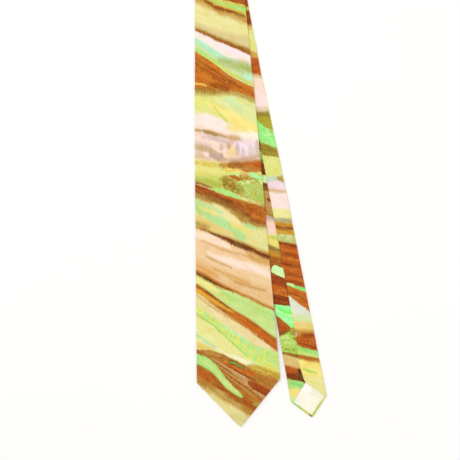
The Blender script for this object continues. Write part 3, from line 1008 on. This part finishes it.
def section(half, mouth):
    """Points round the shell as (g, w, unfolded g, region): from the lower flap's hidden edge,
    round the left fold, across the front, round the right fold, to the upper flap's hem."""
    roll = min(HEIGHT / 2, half * 0.7)
    side = half - roll
    closed = 1 - smooth(-6, 2, mouth)
    lower_edge = min(max(-mouth, -half + roll * 0.4), UNDERLAP)
    overlap = OVERLAP + APEX_OVERLAP * exp(-(((mouth + 26) / 16) ** 2))
    upper_edge = max(min(mouth, half - roll * 0.4), -overlap)
    hem_rise = mix(0.3, SEAM_RISE, closed) * smooth(0, 4, half)

    points = []
    for i in range(FLAP_STEPS):
        g = mix(lower_edge, -side, i / FLAP_STEPS)
        near_edge = exp(-(((g - lower_edge) / 5.0) ** 2))
        dip = LOWER_DIP * closed * smooth(-10, -2, g)
        w = HEIGHT - dip + MOUTH_RISE * near_edge * (1 - closed)
        points.append((g, w, -2 * half - g, LEFT_FLAP))
    for i in range(ROLL_STEPS):
        turn = pi / 2 + pi * i / ROLL_STEPS
        w = HEIGHT / 2 * (1 + sin(turn))
        region = LEFT_FLAP if i < ROLL_STEPS / 2 else FRONT
        points.append((-side + roll * cos(turn), w, -side - roll * (1 - i / ROLL_STEPS), region))
    for i in range(FRONT_STEPS + 1):
        g = mix(-side, side, i / FRONT_STEPS)
        points.append((g, 0.0, g, FRONT))
    for i in range(1, ROLL_STEPS + 1):
        turn = -pi / 2 + pi * i / ROLL_STEPS
        w = HEIGHT / 2 * (1 + sin(turn))
        region = RIGHT_FLAP if i >= ROLL_STEPS / 2 else FRONT
        points.append((side + roll * cos(turn), w, side + roll * i / ROLL_STEPS, region))
    for i in range(1, FLAP_STEPS + 1):
        g = mix(side, upper_edge, i / FLAP_STEPS)
        near_edge = exp(-(((g - upper_edge) / SEAM_WIDE) ** 2))
        points.append((g, HEIGHT + hem_rise * near_edge, 2 * half - g, RIGHT_FLAP))

    nose = min(0.35, half * 0.15)
    level = HEIGHT + hem_rise
    turned = min(HEM_TURN, max(0.2, (side - upper_edge) * 0.8))
    hem = 2 * half - upper_edge
    points.append((upper_edge - nose, level - CLOTH * 0.6, hem + 0.4, RIGHT_FLAP))
    points.append((upper_edge - nose * 0.9, level - CLOTH * 1.4, hem + 0.8, RIGHT_FLAP))
    points.append((upper_edge, level - CLOTH * 2, hem + 1.2, RIGHT_FLAP))
    points.append((upper_edge + turned, level - CLOTH * 2.05, hem + turned + 1, RIGHT_FLAP))
    return points


COLUMNS = len(section(20.0, -9.0))  # points in a row of any shell


def row_places(leg, start, end):
    """Distances of the rows of a shell: closer past the apex, and closest round the tip."""
    stops = [start] + [y for y in (leg.apex, leg.shoulder, leg.arc_start) if start < y < end]
    rows = []
    for low, high in zip(stops, stops[1:] + [end]):
        if low >= leg.arc_start:
            rows += [mix(low, high, sin(pi / 2 * i / 8)) for i in range(8)]
        else:
            count = max(1, round((high - low) / (5.0 if low < leg.apex else 1.8)))
            rows += [mix(low, high, i / count) for i in range(count)]
    return rows + [end]


def blade_up(g, y, region):
    """Height above the blade's tip. On the back the two flaps' prints don't meet."""
    shift = {FRONT: 0.0, LEFT_FLAP: -0.6, RIGHT_FLAP: 0.6}[region]
    return blade.length - y + shift * max(0.0, blade.half(y) - abs(g))


def tail_up(g, y, region):
    """Height above the tail's tip."""
    return tail.length - y


def blade_neck_up(g, y, region):
    """Distance along the neck piece from the blade's seam."""
    return SEAM_DISTANCE - y


def tail_neck_up(g, y, region):
    """Distance along the neck piece from the blade's seam, on past the fold."""
    return SEAM_DISTANCE + pi * BEND + y


def face_regions(regions, columns):
    """The region of each face of a grid, from the regions of its points."""
    rows = len(regions) // columns
    return [regions[r * columns + c] for r in range(rows - 1) for c in range(columns - 1)]


def shell(name, leg, start, end, up_of, materials):
    """The outer cloth of a stretch of a leg, cut on the bias where it reaches a bias seam."""
    points, regions = [], []
    uvs = {"print": [], "seen": [], "weave": []}
    rows = row_places(leg, start, end)
    for row in rows:
        half, mouth = leg.half(row), leg.mouth(row)
        near_seam = max(0.0, 1 - abs(row - SEAM_DISTANCE) / SEAM_FADE)
        for g0, w, unfolded, region in section(half, mouth):
            y = row + leg.slant * g0 * near_seam
            g = g0 * leg.full(y) / leg.full(row) if near_seam else g0
            full = leg.full(min(y, leg.shoulder))
            points.append(leg.place(g, y, w))
            regions.append(region)
            uvs["print"].append(((g + full) / (2 * full), up_of(g, y, region) * MM))
            uvs["seen"].append((g * MM, y * MM))
            uvs["weave"].append((unfolded * MM, y * MM))
    faces = grid_faces(len(rows), COLUMNS, flip=leg is blade)
    obj = object_from(name, points, faces, materials, face_regions(regions, COLUMNS), uvs)
    return cloth_piece(obj, points, COLUMNS, CLOTH)


def fold_rows():
    """Rows of the bend, from the tail to the blade: distance along it, distance from the crease
    and height of the bend's middle, and the direction outwards as (distance, height)."""
    rows = [(FOLD_END - y, y, BEND, 0.0, -1.0) for y in (FOLD_END, (FOLD_END + BEND) / 2)]
    flat = FOLD_END - BEND
    steps = 14
    for i in range(steps + 1):
        turn = pi * i / steps
        rows.append((flat + BEND * turn, BEND, BEND, -sin(turn), -cos(turn)))
    far = flat + pi * BEND
    rows += [(far + y - BEND, y, BEND, 0.0, 1.0) for y in ((FOLD_END + BEND) / 2, FOLD_END)]
    return rows


def fold_grid(points_of_section):
    """Points of the bend for a section (g, w, ...) that is the same all round, with its rows."""
    inward = Vector((sin(radians(FOLD_ANGLE)), -cos(radians(FOLD_ANGLE)), 0))
    across = Vector((cos(radians(FOLD_ANGLE)), sin(radians(FOLD_ANGLE)), 0))
    rows = fold_rows()
    span = rows[-1][0]
    points, places = [], []
    for along, distance, height, out, rise in rows:
        half = mix(tail.half(FOLD_END), blade.half(FOLD_END), along / span)
        for g, w, *rest in points_of_section(half):
            reach = BEND - w
            spot = inward * (distance + out * reach) + across * g
            points.append(Vector((FOLD_X + spot.x, FOLD_Y + spot.y, height + rise * reach)))
            places.append((g, half, SEAM_DISTANCE - FOLD_END + span - along, rest))
    return rows, points, places


def fold_cloth():
    """The neck piece's cloth round the fold."""
    rows, points, places = fold_grid(lambda half: section(half, -99.0))
    uvs = {
        "print": [((g + half) / (2 * half), up * MM) for g, half, up, rest in places],
        "seen": [(g * MM, -up * MM) for g, half, up, rest in places],
        "weave": [(rest[0] * MM, -up * MM) for g, half, up, rest in places],
    }
    faces = grid_faces(len(rows), COLUMNS, flip=True)
    obj = object_from("fold_cloth", points, faces, [NECK_PRINT], uvs=uvs)
    return cloth_piece(obj, points, COLUMNS, CLOTH)


def lining_section(half):
    """The interlining in the bend: a flat layer, given by its back face."""
    steps = 12
    wide = half - INTERLINING_INSET
    return [(mix(-wide, wide, i / steps), INTERLINING_TOP) for i in range(steps + 1)]


def fold_lining():
    """The interlining round the fold."""
    rows, points, _ = fold_grid(lining_section)
    columns = len(lining_section(20.0))
    obj = object_from("fold_lining", points, grid_faces(len(rows), columns), [INTERLINING])
    return cloth_piece(obj, points, columns, 0.9)


# the prints of a shell's front, left flap and right flap
BLADE_PRINTS = [BLADE_PRINT] * 3
TAIL_PRINTS = [BLADE_PRINT, TAIL_LEFT, TAIL_RIGHT]
NECK_PRINTS = [NECK_PRINT] * 3

tail_cloth = shell("tail_cloth", tail, SEAM_DISTANCE, tail.end, tail_up, TAIL_PRINTS)
moves(tail_cloth, "tail_half", "printed_cloth", "tail_shell")

neck_tail = shell(
    "neck_cloth_tail_side", tail, FOLD_END, SEAM_DISTANCE, tail_neck_up, NECK_PRINTS
)
neck_blade = shell(
    "neck_cloth_blade_side", blade, FOLD_END, SEAM_DISTANCE, blade_neck_up, NECK_PRINTS
)
fold = fold_cloth()
bend_lining = fold_lining()

blade_cloth = shell(
    "blade_cloth", blade, SEAM_DISTANCE, blade.end, blade_up, BLADE_PRINTS
)
moves(blade_cloth, "blade_half", "printed_cloth", "blade_shell")


def fold_point(distance, height):
    """The point at a distance from the crease towards the tips and at a height, in metres."""
    x = FOLD_X + distance * sin(radians(FOLD_ANGLE))
    y = FOLD_Y - distance * cos(radians(FOLD_ANGLE))
    return (x * MM, y * MM, height * MM)


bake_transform(neck_tail)
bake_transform(neck_blade)
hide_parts("neck_shell_tail_side")
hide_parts("neck_shell_blade_side")
low, high = fold_point(0, BEND - 1.1), fold_point(0, BEND + 1.1)
for piece in (fold, bend_lining):
    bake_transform(piece)
    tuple(low)
    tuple(high)
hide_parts("neck_fold_lower", "neck_fold_upper")
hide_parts("fold_interlining_lower", "fold_interlining_upper")


# ---------------------------------------------------------------- layers inside


def panel(name, leg, rows, columns, place, thickness, material):
    """A flat piece of cloth on a leg. place gives (g, y, w) of its back face from two shares."""
    shares = [(c / (columns - 1), r / (rows - 1)) for r in range(rows) for c in range(columns)]
    spots = [place(s, t) for s, t in shares]
    points = [leg.place(*spot) for spot in spots]
    uvs = {"weave": [(g * MM, y * MM) for g, y, w in spots]}
    faces = grid_faces(rows, columns, flip=leg is tail)
    obj = object_from(name, points, faces, [material], uvs=uvs)
    return cloth_piece(obj, points, columns, thickness)


def interlining(name, leg, start):
    """The layer that gives the leg its body."""

    def place(s, t):
        y = mix(start, leg.end - 4.0, t)
        wide = max(0.3, leg.half(y) - INTERLINING_INSET)
        return (mix(-wide, wide, s), y, INTERLINING_TOP)

    return panel(name, leg, 130, 16, place, INTERLINING_THICK, INTERLINING)


def tipping(name, leg, tuck):
    """The lining of the point, a little puckered along its felled edges."""

    def place(s, t):
        y = mix(leg.apex - tuck, leg.end - 1.6, t)
        wide = max(0.2, leg.half(y) - TIPPING_INSET)
        g = mix(-wide, wide, s)
        pucker = 0.03 * noise.noise(Vector((g / 3.0, y / 3.5, 5.2)))
        return (g, y, LINING_TOP + pucker)

    return panel(name, leg, 46, 40, place, TIPPING_THICK, TIPPING)


moves(tipping("tail_tip_lining", tail, 9.0), "tail_half", "tipping", "tail_tipping")
moves(tipping("blade_tip_lining", blade, 14.0), "blade_half", "tipping", "blade_tipping")
blade_lining = interlining("blade_lining", blade, SWIVEL)
moves(blade_lining, "blade_half", "interlining", "blade_interlining")

# ---------------------------------------------------------------- threads

TUBE_SIDES = 7


def tubes(name, runs, radius, material):
    """Round threads, each along its own list of world points."""
    points, faces = [], []
    for run in runs:
        first = len(points)
        for i, spot in enumerate(run):
            ahead = run[min(i + 1, len(run) - 1)] - run[max(i - 1, 0)]
            ahead.normalize()
            side = ahead.cross(Vector((0, 0, 1)))
            side = side.normalized() if side.length > 1e-4 else Vector((1, 0, 0))
            above = side.cross(ahead)
            for k in range(TUBE_SIDES):
                turn = 2 * pi * k / TUBE_SIDES
                points.append(spot + (side * cos(turn) + above * sin(turn)) * radius)
        for i in range(len(run) - 1):
            for k in range(TUBE_SIDES):
                a = first + i * TUBE_SIDES + k
                b = first + i * TUBE_SIDES + (k + 1) % TUBE_SIDES
                faces.append((a, b, b + TUBE_SIDES, a + TUBE_SIDES))
        faces.append(tuple(first + k for k in reversed(range(TUBE_SIDES))))
        last = first + (len(run) - 1) * TUBE_SIDES
        faces.append(tuple(last + k for k in range(TUBE_SIDES)))
    obj = object_from(name, points, faces, [material])
    obj.data.set_sharp_from_angle(angle=radians(70))
    return obj


def stitch(leg, g, y, turn, length, w, height):
    """One stitch lying on the cloth's back at w: it comes up, runs along and goes down."""
    run = []
    for i in range(9):
        t = 2 * i / 8 - 1
        arch = 1 - t**4
        shift = t * length / 2
        rise = w - STITCH_DEPTH + (height + STITCH_DEPTH) * arch
        run.append(leg.place(g + cos(turn) * shift, y + sin(turn) * shift, rise))
    return run


def evenly(start, end, pitch):
    """Evenly spaced places between two points, as (g, y, radians along the line)."""
    (g0, y0), (g1, y1) = start, end
    count = max(1, int(hypot(g1 - g0, y1 - y0) / pitch))
    turn = atan2(y1 - y0, g1 - g0)
    shares = [(i + 0.5) / count for i in range(count)]
    return [(mix(g0, g1, s), mix(y0, y1, s), turn) for s in shares]


def hem_stitches(leg, clear):
    """Stitches that fell the tipping round the diamond, except close to its apex."""
    inner = leg.wide - HEM_BORDER - 1.0
    tip = leg.length - (HEM_BORDER + 1.2) * hypot(leg.wide, leg.point) / leg.wide
    corners = [(0, leg.apex + 1.4), (inner, leg.shoulder), (0, tip), (-inner, leg.shoulder)]
    runs = []
    for start, end in zip(corners, corners[1:] + corners[:1]):
        for g, y, turn in evenly(start, end, HEM_PITCH):
            if hypot(g, y - leg.apex) > clear:
                runs.append(stitch(leg, g, y, turn, STITCH, LINING_TOP, 0.2))
    return runs


def slip_stitches(leg, tack):
    """The ladder of thread that draws the two back flaps together, hidden under the upper one."""
    first = SEAM_DISTANCE + leg.full(SEAM_DISTANCE)
    places = evenly((0, first), (0, leg.length - tack - SLIP_PITCH), SLIP_PITCH)
    return [stitch(leg, g, y, 0.0, SLIP_STITCH, INTERLINING_TOP, 0.12) for g, y, _ in places]


def seam_stitches(leg):
    """The bias seam between the neck piece and a leg, sewn inside."""
    wide = leg.full(SEAM_DISTANCE) - 3
    drop = wide * leg.slant
    places = evenly((-wide, SEAM_DISTANCE - drop), (wide, SEAM_DISTANCE + drop), STITCH_PITCH)
    return [stitch(leg, g, y, turn, STITCH, INTERLINING_TOP, 0.1) for g, y, turn in places]


def seam_level(g, edge):
    """Height of the back's surface beside the centre seam, whose upper edge is at this g."""
    return HEIGHT + SEAM_RISE * exp(-(((g - edge) / SEAM_WIDE) ** 2)) if g > edge else HEIGHT - 0.2


def bar_tack(leg, from_tip, size):
    """Close stitches over the centre seam at its open end, in a bar across it or along it."""
    y = leg.length - from_tip
    wide, long = size
    edge = -OVERLAP
    count = int(max(size) / TACK_PITCH)
    runs = []
    for i in range(count):
        shift = mix(-max(size) / 2, max(size) / 2, i / (count - 1))
        side = (-1) ** i
        if wide > long:
            level = seam_level(shift, edge) - 0.2
            turn = pi / 2 + 0.12 * side
            runs.append(stitch(leg, shift, y, turn, long + TACK_REACH, level, 0.1))
        else:
            level = seam_level(edge + 0.1, edge)
            turn = 0.35 * side
            middle = edge + 0.2
            runs.append(stitch(leg, middle, y + shift, turn, wide + TACK_REACH, level, 0.28))
    return runs


def tail_threads():
    """The tail's threads that show. Its hidden ones stay as they are in the frame."""
    hem = tubes("tail_hem_stitches", hem_stitches(tail, 16.0), FINE_THREAD, WHITE_THREAD)
    moves(hem, "tail_half", "sewing_thread", "tail_tipping_stitches")
    tack = tubes("tail_tack", bar_tack(tail, TAIL_TACK, TAIL_TACK_SIZE), THREAD, WHITE_THREAD)
    moves(tack, "tail_half", "sewing_thread", "tail_bar_tack")


def blade_threads():
    """The blade's threads, which follow its drape."""
    for name, runs, radius, replaced in (
        ("blade_hem_stitches", hem_stitches(blade, 10.0), FINE_THREAD, "blade_tipping_stitches"),
        ("blade_slip_thread", slip_stitches(blade, BLADE_TACK), THREAD, "blade_slip_stitches"),
        ("blade_seam_thread", seam_stitches(blade), FINE_THREAD, "blade_seam_stitches"),
        ("blade_tack", bar_tack(blade, BLADE_TACK, BLADE_TACK_SIZE), THREAD, "blade_bar_tack"),
    ):
        moves(tubes(name, runs, radius, WHITE_THREAD), "blade_half", "sewing_thread", replaced)


tail_threads()
blade_threads()

# ---------------------------------------------------------------- keeper, labels and spare thread


def keeper_lift(g):
    """Height of the keeper's inner face off the blade's back: sewn down at the ends."""
    return KEEPER_SLACK * (1 - smooth(KEEPER_HALF - 11, KEEPER_HALF - 4, abs(g)))


def keeper():
    """A narrow band of the printed cloth across the blade's back, folded to a flat tube."""
    middle = blade.length - KEEPER_FROM_TIP
    print_width, print_up = KEEPER_PRINT
    stations, ring = 48, 20
    points = []
    uvs = {"print": [], "seen": [], "weave": []}
    for i in range(stations + 1):
        g = mix(-KEEPER_HALF, KEEPER_HALF, i / stations)
        for k in range(ring):
            turn = 2 * pi * k / ring
            across, through = cos(turn), sin(turn)
            y = middle + KEEPER_BAND / 2 * across
            swell = KEEPER_CLOTH / 2 * (1 + (abs(through) ** 0.5) * (1 if through > 0 else -1))
            w = HEIGHT + 0.02 + keeper_lift(g) + swell
            points.append(blade.place(g, y, w))
            uvs["print"].append((g / print_width + 0.5, (print_up + y - middle) * MM))
            uvs["seen"].append((g * MM, y * MM))
            uvs["weave"].append((g * MM, (y + through * KEEPER_BAND / 2) * MM))
    faces = []
    for i in range(stations):
        for k in range(ring):
            a, b = i * ring + k, i * ring + (k + 1) % ring
            faces.append((a, a + ring, b + ring, b))
    faces.append(tuple(range(ring)))
    faces.append(tuple(stations * ring + k for k in reversed(range(ring))))
    obj = object_from("keeper_band", points, faces, [BLADE_PRINT], uvs=uvs)
    obj.data.set_sharp_from_angle(angle=radians(60))
    moves(obj, "blade_half", "printed_cloth", "keeper_loop")
    side = KEEPER_HALF - KEEPER_SEWN
    places = [(s * side, middle + row * KEEPER_BAND / 3) for s in (-1, 1) for row in (-1, 0, 1)]
    runs = [stitch(blade, g, y, 0.0, STITCH, HEIGHT + KEEPER_CLOTH, 0.2) for g, y in places]
    tacks = tubes("keeper_stitches", runs, THREAD, TAN_THREAD)
    moves(tacks, "blade_half", "sewing_thread", "keeper_tacks")


def maker_label():
    """The blank label across the blade's back, tacked along its two short sides."""
    wide, tall, thick = MAKER_LABEL
    middle = blade.length - MAKER_FROM_TIP

    def place(s, t):
        g = mix(-wide / 2, wide / 2, s)
        hump = SEAM_RISE * exp(-(((g + OVERLAP) / SEAM_WIDE) ** 2)) if g > -OVERLAP else 0
        fall = SEAM_RISE * exp(-(((g + OVERLAP) / 3.0) ** 2)) if g <= -OVERLAP else 0
        return (g, middle + mix(-tall / 2, tall / 2, t), HEIGHT + thick + 0.03 + hump + fall)

    label = panel("maker_label_ribbon", blade, 12, 40, place, thick, LABEL)
    moves(label, "blade_half", "label_ribbon", "maker_label")
    runs = []
    for side in (-1, 1):
        g = side * (wide / 2 - 1.2)
        ends = [(g, middle + end * (tall / 2 - 1)) for end in (-1, 1)]
        for _, y, turn in evenly(*ends, STITCH_PITCH):
            runs.append(stitch(blade, g, y, turn, STITCH, HEIGHT + thick, 0.15))
    stitches = tubes("maker_label_thread", runs, FINE_THREAD, WHITE_THREAD)
    moves(stitches, "blade_half", "sewing_thread", "maker_label_stitches")


HEM_TILT = atan2(APEX_RISE * tail.wide, tail.wide - HEM_BORDER)


def on_care_label(along, away):
    """(g, y) of a point measured along the care label's sewn edge and away from it."""
    g = along * cos(HEM_TILT) - away * sin(HEM_TILT)
    corner = tail.apex + LABEL_CLEAR / cos(HEM_TILT)
    return g, corner + along * sin(HEM_TILT) + away * cos(HEM_TILT)


def care_label():
    """The small blank label in the apex of the tail's diamond, its free corner a little lifted."""
    wide, tall, thick = CARE_LABEL

    def place(s, t):
        g, y = on_care_label(s * wide, t * tall)
        curl = CARE_CURL * t**2 * (0.4 + 0.6 * s)
        return (g, y, LINING_TOP + thick + 0.04 + curl)

    label = panel("care_label_ribbon", tail, 14, 14, place, thick * 0.8, LABEL)
    moves(label, "care_label_flap", "label_ribbon", "care_label")
    runs = []
    for g, y, turn in evenly(on_care_label(1, 1), on_care_label(wide - 1, 1), STITCH_PITCH):
        runs.append(stitch(tail, g, y, turn, STITCH, LINING_TOP + thick, 0.12))
    stitches = tubes("care_label_thread", runs, THREAD * 0.6, WHITE_THREAD)
    moves(stitches, "care_label_flap", "sewing_thread", "care_label_stitches")


def slack_thread():
    """The loop of spare slip-stitch thread on the blade's tipping under the apex."""
    radius, gap, drop = 6.0, 2.0, 4.0
    reach = sqrt(radius**2 - gap**2)
    centre = blade.apex + drop + reach
    start = atan2(-reach, -gap)
    opening = 2 * atan2(gap, reach)
    run = []
    steps = 40
    for i in range(steps + 1):
        turn = start - (2 * pi - opening) * i / steps
        run.append(blade.place(radius * cos(turn), centre + radius * sin(turn), LINING_TOP + 0.3))
    loop = tubes("slack_thread", [run], THREAD, WHITE_THREAD)
    moves(loop, "blade_half", "sewing_thread", "slack_thread_loop")


keeper()
maker_label()
care_label()
slack_thread()

# The frame's own pieces inside the tail only need their materials.
for node_name, node in frame["nodes"].items():
    if not node.hide_render:
        node.data.materials.clear()
        inside = "interlining" in node_name
        node.data.materials.append(INTERLINING if inside else WHITE_THREAD)

# ---------------------------------------------------------------- table and light


def floor_material():
    """A plain pale surface with the faintest unevenness."""
    paint = Paint("floor", Specular_IOR_Level=0.1)
    place = paint.add("ShaderNodeTexCoord", {}, 3)
    cloud = paint.noise(paint.turned(place, 0, 400, 300), 2.0)
    paint.base(paint.mix(cloud, colour((250, 249, 247)), colour((253, 252, 250))))
    paint.roughness(paint.calc("MULTIPLY_ADD", cloud, 0.05, 0.9))
    return paint.material


bpy.ops.mesh.primitive_plane_add(size=8.0, location=(0, 0, -0.1 * MM))
floor = bpy.context.object
floor.name = "floor"
floor.data.materials.append(floor_material())
floor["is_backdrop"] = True

world = bpy.data.worlds.new("studio")
world.use_nodes = True
sky = world.node_tree.nodes["Background"].inputs
sky["Color"].default_value = (1, 1, 1, 1)
sky["Strength"].default_value = 0.85
bpy.context.scene.world = world


def area_light(name, place, size, power):
    """A square soft light that points at the middle of the tie."""
    data = bpy.data.lights.new(name, "AREA")
    data.size = size
    data.energy = power
    light = bpy.data.objects.new(name, data)
    light.location = place
    light.rotation_euler = (-Vector(place)).to_track_quat("-Z", "Y").to_euler()
    bpy.context.scene.collection.objects.link(light)


area_light("key", (-1.1, 0.9, 1.9), 1.3, 11.0)
area_light("fill", (1.3, -0.4, 1.6), 1.6, 4.0)

low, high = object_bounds()
sizes = {"cad": [list(cad_low), list(cad_high)], "visual": [list(low), list(high)]}
